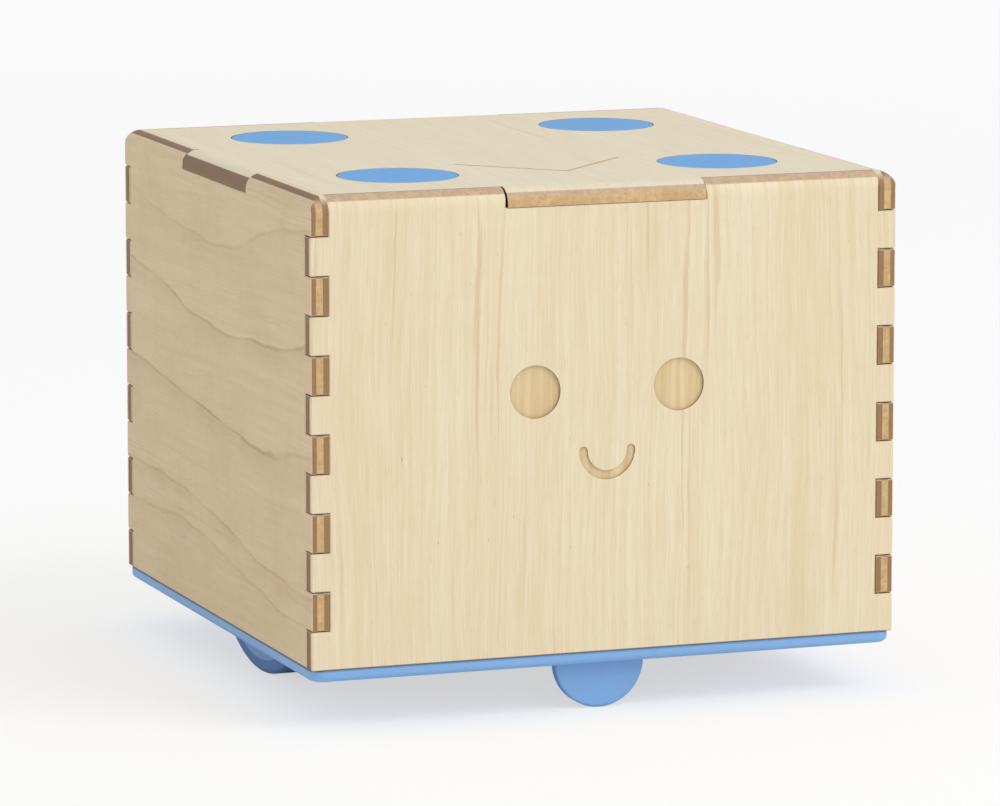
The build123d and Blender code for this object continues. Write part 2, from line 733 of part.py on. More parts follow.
def wheel():
    """A spoked disc with a rim and a hub that fits the flat on the axle."""
    across = (wheel_inner_x, wheel_outer_x)
    rim_radius = wheel_radius - tyre_thickness
    web = web_thickness / 2
    disc = rod(rim_radius, across, axle_at)
    for recess in ((wheel_middle_x + web, wheel_outer_x), (wheel_inner_x, wheel_middle_x - web)):
        disc -= rod(rim_radius - rim_thickness, recess, axle_at)
    hole = rod(lightening_radius, across, (lightening_place, 0))
    for index in range(lightening_holes):
        disc -= Pos(0, *axle_at) * Rot(360 * index / lightening_holes, 0, 0) * hole
    disc += rod(hub_radius, (wheel_inner_x + 0.2, wheel_outer_x), axle_at)
    bore = rod(axle_radius, across, axle_at)
    return disc - (bore - axle_flat())


def tyre():
    ring = rod(wheel_radius, (wheel_inner_x, wheel_outer_x), axle_at)
    ring = fillet(ring.edges().filter_by(GeomType.CIRCLE), 1.2)
    return ring - rod(wheel_radius - tyre_thickness, (wheel_inner_x, wheel_outer_x), axle_at)


def wheel_screw():
    seat = Plane((wheel_outer_x, *axle_at), x_dir=(0, 1, 0), z_dir=(1, 0, 0))
    return pan_screw(seat, wheel_screw_radius, 3.2, 1.8, wheel_screw_length)


# ---- Circuit board -------------------------------------------------------------------
def on_board(x, y, length, width, height):
    """A rounded block standing on the board."""
    block = Pos(x, y, board_top + height / 2) * Box(length, width, height)
    return fillet(block.edges().filter_by(Axis.Z), 0.4)


def board_screw_places():
    return [
        (x, y)
        for x in (-board_screw_x, board_screw_x)
        for y in (board_middle_y - board_screw_y, board_middle_y + board_screw_y)
    ]


def board_screw(x, y):
    return pan_screw(Plane((x, y, board_top)), board_screw_radius, 2.1, 1.4, 5.0)


def circuit_board():
    outline = RectangleRounded(2 * board_half_x, 2 * board_half_y, 2)
    board = extrude(Pos(0, board_middle_y, board_bottom) * outline, board_thickness)
    for x, y in board_screw_places():
        board -= post(board_screw_radius + 0.2, x, y, (board_bottom, board_top))
    return board


def radio_module():
    """A small carrier board with a screening can."""
    y = board_middle_y - 14
    carrier = on_board(8, y, 24, 15, 0.9)
    can = span((3, 16), (y - 5.5, y + 5.5), (board_top + 0.9, board_top + 3.0))
    return carrier + fillet(can.edges().filter_by(Axis.Z), 0.6)


def buzzer():
    x, y = -15, board_middle_y - 10
    can = post(6.0, x, y, (board_top, board_top + 6))
    return can - post(1.0, x, y, (board_top + 4, board_top + 6))


def connector(x):
    """A wire connector, open towards +Y."""
    body = on_board(x, connector_y, 6, 5.5, 5)
    mouth_y = (connector_y + 0.5, connector_y + 3)
    return body - span((x - 2.2, x + 2.2), mouth_y, (board_top + 1, board_top + 4))


# ---- Power switch --------------------------------------------------------------------
def switch_body():
    """A hollow case over the slot in the base, for the slider to run in."""
    y = switch_y
    body = span((-7, 7), (y - 3.6, y + 3.6), (wood_bottom, wood_bottom + 6))
    body -= span((-4.9, 4.9), (y - 2.3, y + 2.3), (wood_bottom + 0.5, wood_bottom + 3.8))
    return body - span((-3.9, 3.9), (y - 1.5, y + 1.5), (wood_bottom, wood_bottom + 1))


def switch_slider():
    """At rest the slider stands at the off end, towards -X."""
    x = -switch_travel / 2
    y = switch_y
    block = span((x - 2.6, x + 2.6), (y - 2.1, y + 2.1), (wood_bottom + 0.7, wood_bottom + 3.4))
    stem = span((x - 1.6, x + 1.6), (y - 1.3, y + 1.3), (ground_clearance - 1.8, wood_bottom + 0.7))
    stem = fillet(stem.faces().sort_by(Axis.Z)[0].edges(), 0.4)
    return block + stem


# ---- Wires ---------------------------------------------------------------------------
def wire(*points):
    """An insulated wire that bends at each point between its ends."""
    path = FilletPolyline(*points, radius=wire_bend)
    return sweep(Plane(path @ 0, z_dir=path % 0) * Circle(wire_radius), path)


def connector_end(connector_index, strand):
    """Where a strand ends inside its connector."""
    x = connector_x[connector_index] + strand * strand_spacing
    return (x, connector_y + 0.6, board_top + 2.5)


def motor_wire(side, strand):
    terminal_z = motor_at[1] + strand * terminal_place
    start = (side * (motor_back - 1.7), motor_at[0] - 1.0 - wire_radius, terminal_z)
    index = 0 if side < 0 else 3
    end = connector_end(index, strand)
    turn = (start[0], motor_at[0] - 14.0, start[2])
    before = (end[0], end[1] + 6.0, end[2])
    return wire(start, turn, before, end)


def battery_wire(strand):
    wall = box_middle_y + box_half_y + box_wall
    end = connector_end(1, strand)
    start = (end[0], wall, 22.0)
    loop = wall + 5.0
    return wire(start, (end[0], loop, 22.0), (end[0], loop, end[2]), end)


def switch_wire(strand):
    end = connector_end(2, strand)
    start = (strand * 3.0, switch_y - 3.6, wood_bottom + 3)
    turn = (start[0], switch_y - 18.0, start[2])
    before = (end[0], end[1] + 8.0, end[2])
    return wire(start, turn, before, end)


# ---- Write every piece ---------------------------------------------------------------
os.makedirs("parts", exist_ok=True)
envelope = shell_envelope()
end_wall = wall_panel(0) & envelope
side_wall = wall_panel(1) & envelope
write("front_panel", end_wall - face_engraving())
write("back_panel", Rot(0, 0, 180) * end_wall)
write("left_panel", Rot(0, 0, -90) * side_wall & envelope)
write("right_panel", Rot(0, 0, 90) * side_wall & envelope)
write("lid_panel", lid_panel() & envelope)
write("lid_caps", *[lid_cap(x, y) for x, y in cap_places()])

blocks = []
base_screws = []
for corner_x in (-screw_corner, screw_corner):
    for corner_y in (-screw_corner, screw_corner):
        blocks.append(wooden_block(corner_x, corner_y))
        base_screws.append(base_screw(corner_x, corner_y))
write("corner_blocks", *blocks)
write("base_screws", *base_screws)
write("base_plate", base_plate())
write("front_foot", foot(True))
write("rear_foot", foot(False))

write("battery_box", battery_box())
write("battery_box_screws", *[box_screw(x, y) for x, y in box_lugs])
write("battery_cells", *[cell(index) for index in range(cell_count)])
write("battery_springs", *[cell_spring(index) for index in range(cell_count)])
plates = [contact_plate(index, way) for index in range(cell_count) for way in (-1, 1)]
write("battery_contacts", *plates)
write("battery_door", battery_door())
write("battery_door_screws", door_screw(-1), door_screw(1))

case_screws = [cover_screw(at) for at in cover_screw_at] + [mount_screw(y) for y in mount_y]
pins = [gear_pin(first_at), gear_pin(second_at)]
right_pieces = {
    "gearbox_case": gearbox_case(),
    "gearbox_cover": gearbox_cover(),
    "motor_can": motor_can(),
    "motor_rotor": motor_rotor(),
    "motor_pinion": motor_pinion(),
    "first_gear": first_gear(),
    "second_gear": second_gear(),
    "output_gear": output_gear(),
    "axle": axle(),
    "wheel": wheel(),
    "tyre": tyre(),
    "wheel_screw": wheel_screw(),
}
for name, piece in right_pieces.items():
    write("right_" + name, piece)
    write("left_" + name, mirrored(piece))
both_sides = {
    "motor_magnets": [motor_magnets()],
    "motor_end_caps": [motor_end_cap()],
    "axle_bushes": [axle_bush()],
    "gear_pins": pins,
    "gearbox_screws": case_screws,
}
for name, pieces in both_sides.items():
    write(name, *pieces, *[mirrored(piece) for piece in pieces])

write("circuit_board", circuit_board())
write("board_screws", *[board_screw(x, y) for x, y in board_screw_places()])
chip_row = board_middle_y + 4
controller = on_board(0, chip_row, 10, 10, 1.4)
drivers = [on_board(x, chip_row, 5, 8, 1.6) for x in (-14, 14)]
write("controller_chips", controller, *drivers)
write("radio_module", radio_module())
write("buzzer", buzzer())
capacitor_z = (board_top, board_top + 7)
write("capacitors", *[post(2.5, x, chip_row + 9, capacitor_z) for x in (-11.5, 11.5)])
write("wire_connectors", *[connector(x) for x in connector_x])
write("power_switch_body", switch_body())
write("power_switch_slider", switch_slider())
strands = (-1, 1)
write("motor_wires", *[motor_wire(side, strand) for side in strands for strand in strands])
write("battery_wires", *[battery_wire(strand) for strand in strands])
write("switch_wires", *[switch_wire(strand) for strand in strands])
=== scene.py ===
import bmesh
import bpy
from math import cos, pi, radians, sin
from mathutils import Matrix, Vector


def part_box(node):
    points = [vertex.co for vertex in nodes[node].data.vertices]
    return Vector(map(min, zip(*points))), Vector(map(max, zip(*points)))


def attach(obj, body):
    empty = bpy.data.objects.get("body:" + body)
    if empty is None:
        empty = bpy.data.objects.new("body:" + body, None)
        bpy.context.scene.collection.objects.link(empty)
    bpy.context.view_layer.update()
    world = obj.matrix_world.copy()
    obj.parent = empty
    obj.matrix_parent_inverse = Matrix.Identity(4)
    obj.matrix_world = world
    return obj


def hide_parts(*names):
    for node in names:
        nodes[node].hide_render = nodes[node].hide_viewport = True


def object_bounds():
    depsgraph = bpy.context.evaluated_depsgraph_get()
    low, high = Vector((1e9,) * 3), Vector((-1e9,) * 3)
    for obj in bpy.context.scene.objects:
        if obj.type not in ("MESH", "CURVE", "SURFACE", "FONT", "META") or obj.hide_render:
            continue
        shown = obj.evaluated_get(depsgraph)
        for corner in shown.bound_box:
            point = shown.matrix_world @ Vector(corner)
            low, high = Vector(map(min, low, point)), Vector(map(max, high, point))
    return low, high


# The coding robot's looks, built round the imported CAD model. Blender objects are in metres;
# inside the materials, points and lengths are in millimetres and colours are given as sRGB.

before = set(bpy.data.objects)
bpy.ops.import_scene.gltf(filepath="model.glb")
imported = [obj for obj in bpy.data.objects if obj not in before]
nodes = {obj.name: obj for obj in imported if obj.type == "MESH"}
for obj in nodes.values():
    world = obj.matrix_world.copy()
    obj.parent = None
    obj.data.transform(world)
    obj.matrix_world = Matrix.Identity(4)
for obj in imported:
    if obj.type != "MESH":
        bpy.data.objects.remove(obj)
cad_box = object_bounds()

# ---- Driving values ------------------------------------------------------------------
MM = 1000.0                              # millimetres in a metre
UP, EAST, NORTH = Vector((0, 0, 1)), Vector((1, 0, 0)), Vector((0, 1, 0))
CENTRE = (cad_box[0] + cad_box[1]) / 2

CAMERA_PLACE = (-0.482, -1.317, 0.279)
CAMERA_LENS = 235.0
KEY_DIRECTION = (0.45, -0.55, 0.70)      # from the object to the main light
KEY_DISTANCE = 2.2
KEY_SIZE = 1.2
KEY_WATTS = 16.0
SKY_STRENGTH = 0.75
BACKDROP = 1.02                          # brightness of the floor and of the space behind it
FLOOR_HALF = 6.0
FLOOR_GLOW = 0.6                         # share of the floor's brightness that shadows don't touch
FLOOR_FADE = (500.0, 2600.0)             # mm from the object where that share rises to all of it

EDGE_SAMPLES = 4
EDGE_BEND = (0.995, 0.9)                 # cosines of the bends where an edge starts and is full
GAP_SAMPLES = 6
GAP_OPENNESS = (0.75, 0.15)              # open shares where a gap starts and is full

SIDE_PLIES = (1.2, 2.7)                  # depths where a panel's middle ply starts and ends
FACE_PLIES = (0.9, 3.3)
LID_PLIES = (1.0, 5.0)
PLY_BLEND = 0.1
FLAT_FACING = (0.96, 0.99)               # cosines to the panel's own direction: its flat face,
ROUNDED_FACING = (0.98, 0.9)             # the rounded edges
CUT_FACING = (0.7, 0.4)                  # and the cut ends
TOP_FACING = (0.3, 0.6)                  # cosines to straight up where an end is sanded, and painted paler as lit from above
CROSS_CUT = (0.3, 0.7)                   # shares of along-grain where an end turns dark
ENGRAVED_DEPTHS = (0.22, 0.34)           # a face this deep is the bottom of an engraved shape
ENGRAVED_REACH = 49.0                    # engraving lies this near the middle of its panel
SEAM_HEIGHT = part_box("front_panel")[0].z * MM
SEAM_WIDTH = 0.6

SWAY, SWAY_REACH = (40.0, 90.0), 3.0     # streaks in the wood, as width and length
WOBBLE, WOBBLE_REACH = (6.0, 14.0), 0.5
BROAD_BANDS = (12.0, 190.0)
MEDIUM_BANDS = (1.7, 80.0)
FINE_BANDS = (0.5, 15.0)
FIBRES = (0.2, 4.0)
VEIN_GROUPS = (5.0, 170.0)
THIN_VEINS = (0.8, 60.0)
FLECKS = (0.5, 2.6)
PINE_RINGS = (1.6, 90.0)
PINE_FIBRES = (0.2, 8.0)
TONE_SHARES = (0.26, 0.32, 0.42)         # of the broad, medium and fine bands
TONE_SPREAD = 0.19                       # a smaller spread makes a stronger contrast
SOFT_GRAIN = 0.6                         # contrast of the sides and the lid, where the front has 1

RING_HEIGHTS = (104.0, 84.0, 63.0, 38.0, 30.0)
RING_STRENGTHS = (0.25, 0.5, 0.6, 0.4, 0.3)
FAINT_RINGS = 0.65                       # share of those strengths on the right panel
ARCH_TOP = 86.0                          # growth rings sag most where height + place along = this
ARCH_HALF = 48.0
ARCH_DEPTH = 10.0
RING_SWAY, RING_SWAY_REACH = (30.0, 70.0), 6.0
RING_RIPPLE, RING_RIPPLE_REACH = (3.0, 9.0), 0.9
RING_WEAR = (12.0, 26.0)
RING_LINE = (0.75, 0.1)                  # distances where a ring's line starts and is full
RING_SHADE = 7.0                         # width of the soft shade below a ring
RING_SHADE_STRENGTH = 0.4

BRUSHED, UNBRUSHED = (1.0, 0.2, 0.2), (1.0, 1.0, 1.0)
CELL_BAND = 15.0                         # a battery cell's sleeve changes colour this far out
CELL_CAP = 25.5                          # and its bare metal starts here
TRACK_PITCH = 1.6
TRACK_START, TRACK_END = (0.28, 0.34), (0.72, 0.66)     # a track's two edges, as shares of the pitch
TRACK_PATCH = (7.0, 5.0)                 # tracks run one way all over a patch of this size

TYRE_WALL = 0.003                        # this and the other tyre sizes are in metres
TYRE_SHOULDER = 0.0012
SHOULDER_STEPS = 6
GROOVE_PLACE = 0.42                      # share of the half width, from the middle
GROOVE_DEPTH = 0.0005
GROOVE_TOP_HALF = 0.00035
GROOVE_FLOOR_HALF = 0.00021
TYRE_TURNS = 128
SHARP_EDGE = radians(40)


def tint(red, green, blue):
    """A linear colour from 0 to 255 sRGB values."""
    linear = []
    for value in (red, green, blue):
        share = value / 255
        linear.append(share / 12.92 if share <= 0.04045 else ((share + 0.055) / 1.055) ** 2.4)
    return (*linear, 1.0)


# ---- Colours -------------------------------------------------------------------------
WOOD_PALE = tint(238, 225, 197)
WOOD_WARM = tint(228, 209, 171)
WOOD_LINE = tint(208, 174, 134)
WOOD_FLECK = tint(166, 134, 100)
WOOD_RING = tint(172, 138, 98)
WOOD_EDGE_WEAR_AND_HIGHLIGHT = tint(244, 232, 206)
ENGRAVED_PALE, ENGRAVED_DARK = tint(230, 208, 164), tint(214, 188, 140)
FACE_GROOVE = tint(172, 138, 100)        # the walls of the face's engraved shapes
LID_GROOVE = tint(216, 198, 168)
# Painted light and shade: the side panels darkened and the lid cooled, as the light falls on each
LEFT_PAINTED_SHADE = (0.89, 0.825, 0.745, 1)
RIGHT_PAINTED_SHADE = (0.96, 0.92, 0.86, 1)
LID_PAINTED_LIGHT = (0.96, 1.0, 1.07, 1)
PLY_LIGHT = tint(205, 170, 119)          # the middle ply cut along its fibres
PLY_STREAK = tint(228, 198, 150)
PLY_SANDED = tint(196, 170, 142)         # the middle ply on the rounded top edges
PLY_END = tint(154, 121, 84)             # an outer ply cut across its fibres
CORE_END = tint(136, 104, 76)            # the middle ply cut across its fibres
GAP_PAINTED_SHADE = tint(84, 58, 40)
PINE_PALE, PINE_RING, PINE_PAINTED_SHADE = tint(236, 212, 166), tint(214, 178, 126), tint(90, 62, 40)
SEAM_PAINTED_SHADOW = tint(52, 76, 108)
RUBBER_BLUE, RUBBER_DUST = tint(104, 142, 192), tint(132, 160, 194)
SLEEVE_BLUE, SLEEVE_SILVER, SLEEVE_RUBBED = tint(44, 62, 92), tint(196, 200, 204), tint(214, 216, 220)
MASK_GREEN, TRACK_GREEN = tint(24, 96, 62), tint(52, 142, 92)
FLOOR_DULL, FLOOR_BRIGHT = (0.93, 0.93, 0.93, 1), (0.95, 0.95, 0.95, 1)
WHITE = (1, 1, 1, 1)
# Moulded plastic: its own colour, its paler edges (wear with a painted highlight) and its darker tone
# for mottling and for painted shade in corners
BLUE = tint(134, 182, 234), tint(152, 198, 246), tint(98, 136, 186)
CAP_BLUE = tint(102, 168, 228), tint(120, 182, 236), tint(84, 132, 192)
PALE_GREY = tint(206, 206, 200), tint(226, 226, 220), tint(150, 150, 146)
NYLON = tint(232, 229, 218), tint(244, 242, 234), tint(178, 174, 160)
BLACK = tint(38, 39, 43), tint(76, 78, 84), tint(18, 18, 20)
CHIP_BLACK = tint(34, 34, 36), tint(60, 60, 64), tint(16, 16, 18)
WIRE_RED = tint(186, 40, 36), tint(214, 92, 84), tint(110, 20, 18)
WIRE_GREY = tint(118, 120, 124), tint(160, 162, 166), tint(70, 72, 76)
# Metals: bright, and tarnished
STEEL = tint(198, 200, 204), tint(128, 126, 124)
PLATED = tint(214, 214, 216), tint(140, 138, 134)
BRASS = tint(222, 188, 112), tint(150, 112, 60)
MAGNET = tint(84, 84, 88), tint(48, 46, 46)


# ---- Material building ---------------------------------------------------------------
class Paint:
    """A material's node tree, built with short calls."""

    def __init__(self, name):
        self.material = bpy.data.materials.new(name)
        self.material.use_nodes = True
        self.tree = self.material.node_tree
        self.tree.nodes.clear()
        where = self.node("TexCoord").outputs
        scaled = self.node("VectorMath", {0: where["Object"], "Scale": MM}, operation="SCALE")
        self.place = scaled.outputs[0]
        self.normal = where["Normal"]

    def node(self, kind, inputs=None, **settings):
        made = self.tree.nodes.new("ShaderNode" + kind)
        for name, value in settings.items():
            setattr(made, name, value)
        for key, value in (inputs or {}).items():
            if isinstance(value, bpy.types.NodeSocket):
                self.tree.links.new(value, made.inputs[key])
            else:
                made.inputs[key].default_value = value
        return made

    def math(self, operation, first, second=0.0):
        return self.node("Math", {0: first, 1: second}, operation=operation).outputs[0]

    def plus(self, first, *others):
        for other in others:
            first = self.math("ADD", first, other)
        return first

    def minus(self, first, second):
        return self.math("SUBTRACT", first, second)

    def times(self, first, second):
        return self.math("MULTIPLY", first, second)

    def over(self, first, second):
        return self.math("DIVIDE", first, second)

    def larger(self, first, second):
        return self.math("MAXIMUM", first, second)

    def size(self, value):
        return self.math("ABSOLUTE", value)

    def dot(self, vector, direction):
        made = self.node("VectorMath", {0: vector, 1: direction}, operation="DOT_PRODUCT")
        return made.outputs["Value"]

    def point(self, x, y, z):
        return self.node("CombineXYZ", {0: x, 1: y, 2: z}).outputs[0]

    def noise(self, vector, scale=1.0, detail=2.0, roughness=0.5, distortion=0.0):
        inputs = {"Vector": vector, "Scale": scale, "Detail": detail}
        inputs.update({"Roughness": roughness, "Distortion": distortion})
        return self.node("TexNoise", inputs).outputs["Fac"]

    def streaks(self, across, along, streak_size, seed, detail=3.0):
        """Soft streaks of about this (width, length), from 0 to 1."""
        width, length = streak_size
        shrunk = self.point(self.over(across, width), self.over(along, length), seed)
        return self.noise(shrunk, detail=detail)

    def rise(self, value, low, high):
        """0 below low, 1 above high and smooth between them; low may be the larger."""
        inputs = {"Value": value, "From Min": low, "From Max": high}
        return self.node("MapRange", inputs, interpolation_type="SMOOTHSTEP").outputs[0]

    def scaled(self, value, low, high):
        """A 0 to 1 value spread over another range."""
        return self.node("MapRange", {"Value": value, "To Min": low, "To Max": high}).outputs[0]

    def mix(self, share, first, second, blend="MIX"):
        settings = {"data_type": "RGBA", "blend_type": blend}
        return self.node("Mix", {0: share, 6: first, 7: second}, **settings).outputs[2]

    def stain(self, colour, other, pattern, over, strength):
        """The colour with another mixed in, by up to strength, as the pattern rises over a span."""
        return self.mix(self.times(self.rise(pattern, *over), strength), colour, other)

    def swing(self, value, reach):
        """A 0 to 1 value spread as far below 0 as above it."""
        return self.scaled(value, -reach, reach)

    def edge(self, radius):
        """1 on outside and inside edges, within about this radius, 0 elsewhere."""
        soft = self.node("Bevel", {"Radius": radius / MM}, samples=EDGE_SAMPLES).outputs[0]
        hard = self.node("NewGeometry").outputs["Normal"]
        return self.rise(self.dot(soft, hard), *EDGE_BEND)

    def crevice(self, distance=1.5):
        """1 deep in a gap, 0 in the open."""
        open_share = self.node("AmbientOcclusion", {"Distance": distance / MM}, samples=GAP_SAMPLES)
        return self.rise(open_share.outputs["AO"], *GAP_OPENNESS)

    def finish(self, colour, roughness, height, bump, **more):
        """Closes the material. bump is how far in mm a height of 1 stands out."""
        relief = self.node("Bump", {"Height": height, "Distance": bump / MM}).outputs[0]
        inputs = {"Base Color": colour, "Roughness": roughness, "Normal": relief}
        inputs.update({key.replace("_", " "): value for key, value in more.items()})
        surface = self.node("BsdfPrincipled", inputs).outputs[0]
        self.node("OutputMaterial", {0: surface})
        return self.material


def dress(material, *names):
    """Gives CAD nodes a material."""
    for name in names:
        for material_slot in nodes[name].material_slots:
            material_slot.material = material


# ---- Plywood -------------------------------------------------------------------------
class Plywood(Paint):
    """Birch plywood on one panel. outward is the way the panel faces, grain the way its face
    fibres run and plies the depths of its middle ply. The seed gives it a pattern of its own."""

    def __init__(self, panel, outward, grain, seed, plies=FACE_PLIES):
        super().__init__("plywood_" + panel)
        self.seed = seed
        self.plies = plies
        side = outward.cross(grain)
        low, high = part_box(panel)
        outer_face = max(outward.dot(low), outward.dot(high)) * MM
        middle = (low + high) / 2 * MM
        self.height = self.dot(self.place, UP)
        self.along = self.dot(self.place, grain)
        self.straight = self.dot(self.place, side)
        self.depth = self.minus(outer_face, self.dot(self.place, outward))
        from_middle = self.node("VectorMath", {0: self.place, 1: middle}, operation="DISTANCE")
        self.central = self.rise(from_middle.outputs["Value"], ENGRAVED_REACH + 1, ENGRAVED_REACH)
        self.facing = self.dot(self.normal, outward)
        self.along_grain = self.size(self.dot(self.normal, grain))
        self.along_side = self.size(self.dot(self.normal, side))

        sway = self.streaks(self.straight, self.along, SWAY, seed + 9, detail=1.0)
        wobble = self.streaks(self.straight, self.along, WOBBLE, seed + 8, detail=2.0)
        bends = self.swing(sway, SWAY_REACH), self.swing(wobble, WOBBLE_REACH)
        self.across = self.plus(self.straight, *bends)
        self.medium = self.grain_streaks(MEDIUM_BANDS, 1)
        self.fine = self.grain_streaks(FINE_BANDS, 2)
        self.fibre = self.grain_streaks(FIBRES, 3, detail=2.0)

    def grain_streaks(self, streak_size, offset, detail=3.0):
        """Streaks that follow the wandering grain. Each kind has its own offset from the seed."""
        return self.streaks(self.across, self.along, streak_size, self.seed + offset, detail)

    def growth_lines(self, rings):
        """Thin brown rings, each sagging in a wide arch. The lower ones sag further along the
        panel. rings holds their heights and strengths."""
        across, along, seed = self.straight, self.along, self.seed + 20
        from_arch = self.over(self.minus(along, self.minus(ARCH_TOP, across)), ARCH_HALF)
        bell = self.math("EXPONENT", self.times(self.times(from_arch, from_arch), -1.0))
        sway = self.swing(self.streaks(across, along, RING_SWAY, seed, detail=2.0), RING_SWAY_REACH)
        ripple = self.swing(self.streaks(across, along, RING_RIPPLE, seed + 5), RING_RIPPLE_REACH)
        level = self.plus(across, self.times(bell, ARCH_DEPTH), sway, ripple)
        drawn = 0.0
        for height, strength in rings:
            above = self.minus(level, height)
            line = self.rise(self.size(above), *RING_LINE)
            shade = self.times(self.rise(above, -RING_SHADE, 0.0), self.rise(above, 0.5, 0.0))
            shade = self.times(shade, RING_SHADE_STRENGTH)
            drawn = self.larger(self.times(self.larger(line, shade), strength), drawn)
        worn = self.rise(self.streaks(across, along, RING_WEAR, seed + 3), 0.32, 0.62)
        return self.times(drawn, self.scaled(worn, 0.3, 1.0))

    def face_grain(self, contrast, rings):
        """The sanded face: bands of tone, veins, growth rings, flecks and pores."""
        bands = self.grain_streaks(BROAD_BANDS, 0), self.medium, self.fine
        tone = self.plus(*[self.times(band, share) for band, share in zip(bands, TONE_SHARES)])
        spread = TONE_SPREAD / contrast
        colour = self.mix(self.rise(tone, 0.5 - spread, 0.5 + spread), WOOD_PALE, WOOD_WARM)

        thin = self.rise(self.grain_streaks(THIN_VEINS, 5), 0.5, 0.64)
        grouped = self.rise(self.grain_streaks(VEIN_GROUPS, 4, detail=4.0), 0.5, 0.66)
        veins = self.larger(self.times(grouped, thin), self.times(thin, 0.2))
        colour = self.mix(self.times(veins, 0.45 * contrast), colour, WOOD_LINE)
        if rings:
            colour = self.mix(self.growth_lines(rings), colour, WOOD_RING)
            blotches = self.noise(self.place, scale=0.05, detail=4.0, roughness=0.65)
            colour = self.stain(colour, WOOD_LINE, blotches, over=(0.45, 0.7), strength=0.22)
        flecks = self.streaks(self.straight, self.along, FLECKS, self.seed + 6, detail=1.0)
        colour = self.stain(colour, WOOD_FLECK, flecks, over=(0.77, 0.84), strength=0.7)
        return self.stain(colour, WOOD_LINE, self.fibre, over=(0.56, 0.75), strength=0.28)

    def ply_ends(self, face_colour):
        """The plies where the panel is cut. A ply is dark where the cut crosses its fibres, and
        the middle ply's fibres run across the outer plies' ones."""
        crossing = self.plus(self.along_grain, self.along_side, 0.001)
        outer_dark = self.rise(self.over(self.along_grain, crossing), *CROSS_CUT)
        core_dark = self.minus(1.0, outer_dark)
        sanded_and_lit = self.rise(self.dot(self.normal, UP), *TOP_FACING)
        skin = self.rise(self.depth, self.plies[0] + PLY_BLEND, self.plies[0] - PLY_BLEND)
        back = self.rise(self.depth, self.plies[1] - PLY_BLEND, self.plies[1] + PLY_BLEND)
        bands = self.noise(self.place, scale=0.5, detail=3.0)
        core_light = self.mix(sanded_and_lit, PLY_LIGHT, PLY_SANDED)
        core_light = self.stain(core_light, PLY_STREAK, bands, over=(0.4, 0.7), strength=0.5)
        core = self.mix(core_dark, core_light, CORE_END)
        rim_light = self.mix(0.55, face_colour, PLY_LIGHT)
        # On ends facing up the outer plies are painted paler, towards the unshaded face: painted light
        # on the lit top
        rim_light = self.mix(sanded_and_lit, rim_light, self.mix(0.6, face_colour, WOOD_PALE))
        rim = self.mix(outer_dark, rim_light, PLY_END)
        ends = self.mix(self.larger(skin, back), core, rim)
        fibres = self.noise(self.place, scale=1.5, detail=4.0, roughness=0.7)
        return self.stain(ends, CORE_END, fibres, over=(0.42, 0.75), strength=0.35)

    def build(self, shade=WHITE, contrast=1.0, rings=(), groove=WOOD_LINE):
        """shade is painted light and shade over the whole face, darker on the side panels and cooler on
        the lid, and groove is the colour of the walls of engraved shapes.
        """
        colour = self.face_grain(contrast, rings)
        flat_face = self.rise(self.facing, *FLAT_FACING)
        engraved = self.times(self.rise(self.depth, *ENGRAVED_DEPTHS), flat_face)
        burnt = self.mix(self.rise(self.medium, 0.35, 0.65), ENGRAVED_PALE, ENGRAVED_DARK)
        colour = self.mix(engraved, colour, burnt)
        # Painted light and shade: the face multiplied by its panel's tint
        colour = self.mix(1.0, colour, shade, blend="MULTIPLY")

        ends = self.mix(self.central, self.ply_ends(colour), groove)
        facing_size = self.size(self.facing)
        past_skin = self.rise(self.depth, self.plies[0] - PLY_BLEND, self.plies[0] + PLY_BLEND)
        rounded = self.times(past_skin, self.rise(facing_size, *ROUNDED_FACING))
        end_share = self.larger(self.rise(facing_size, *CUT_FACING), rounded)
        colour = self.mix(end_share, colour, ends)

        # Paler edges: wear together with a painted highlight
        edge_wear_and_highlight = self.times(self.edge(radius=0.35), self.minus(0.22, self.times(end_share, 0.2)))
        colour = self.mix(edge_wear_and_highlight, colour, WOOD_EDGE_WEAR_AND_HIGHLIGHT)
        # Painted shade: darker deep in gaps and joints, less so in engraved shapes
        open_groove = self.larger(engraved, self.times(self.central, end_share))
        gap = self.times(self.crevice(distance=1.1), self.scaled(open_groove, 0.9, 0.1))
        colour = self.mix(gap, colour, GAP_PAINTED_SHADE)
        # Painted shadow: a dark line along the foot of the walls, where they meet the base
        above_seam = self.minus(self.height, SEAM_HEIGHT)
        colour = self.stain(colour, GAP_PAINTED_SHADE, above_seam, over=(SEAM_WIDTH / 2, 0.0), strength=0.5)

        roughness = self.scaled(self.medium, 0.46, 0.62)
        relief = self.plus(self.fibre, self.times(self.fine, 0.6))
        return self.finish(colour, roughness, relief, bump=0.02, Specular_IOR_Level=0.35)


def dress_panels():
    rings = list(zip(RING_HEIGHTS, RING_STRENGTHS))
    faint_rings = [(height, strength * FAINT_RINGS) for height, strength in rings]
    front = Plywood("front_panel", -NORTH, UP, seed=3.0)
    back = Plywood("back_panel", NORTH, UP, seed=31.0)
    left = Plywood("left_panel", -EAST, -NORTH, seed=57.0, plies=SIDE_PLIES)
    right = Plywood("right_panel", EAST, NORTH, seed=83.0, plies=SIDE_PLIES)
    lid = Plywood("lid_panel", UP, NORTH, seed=119.0, plies=LID_PLIES)
    dress(front.build(groove=FACE_GROOVE), "front_panel")
    dress(back.build(), "back_panel")
    dress(left.build(LEFT_PAINTED_SHADE, SOFT_GRAIN, rings), "left_panel")
    dress(right.build(RIGHT_PAINTED_SHADE, SOFT_GRAIN, faint_rings), "right_panel")
    dress(lid.build(LID_PAINTED_LIGHT, SOFT_GRAIN, groove=LID_GROOVE), "lid_panel")


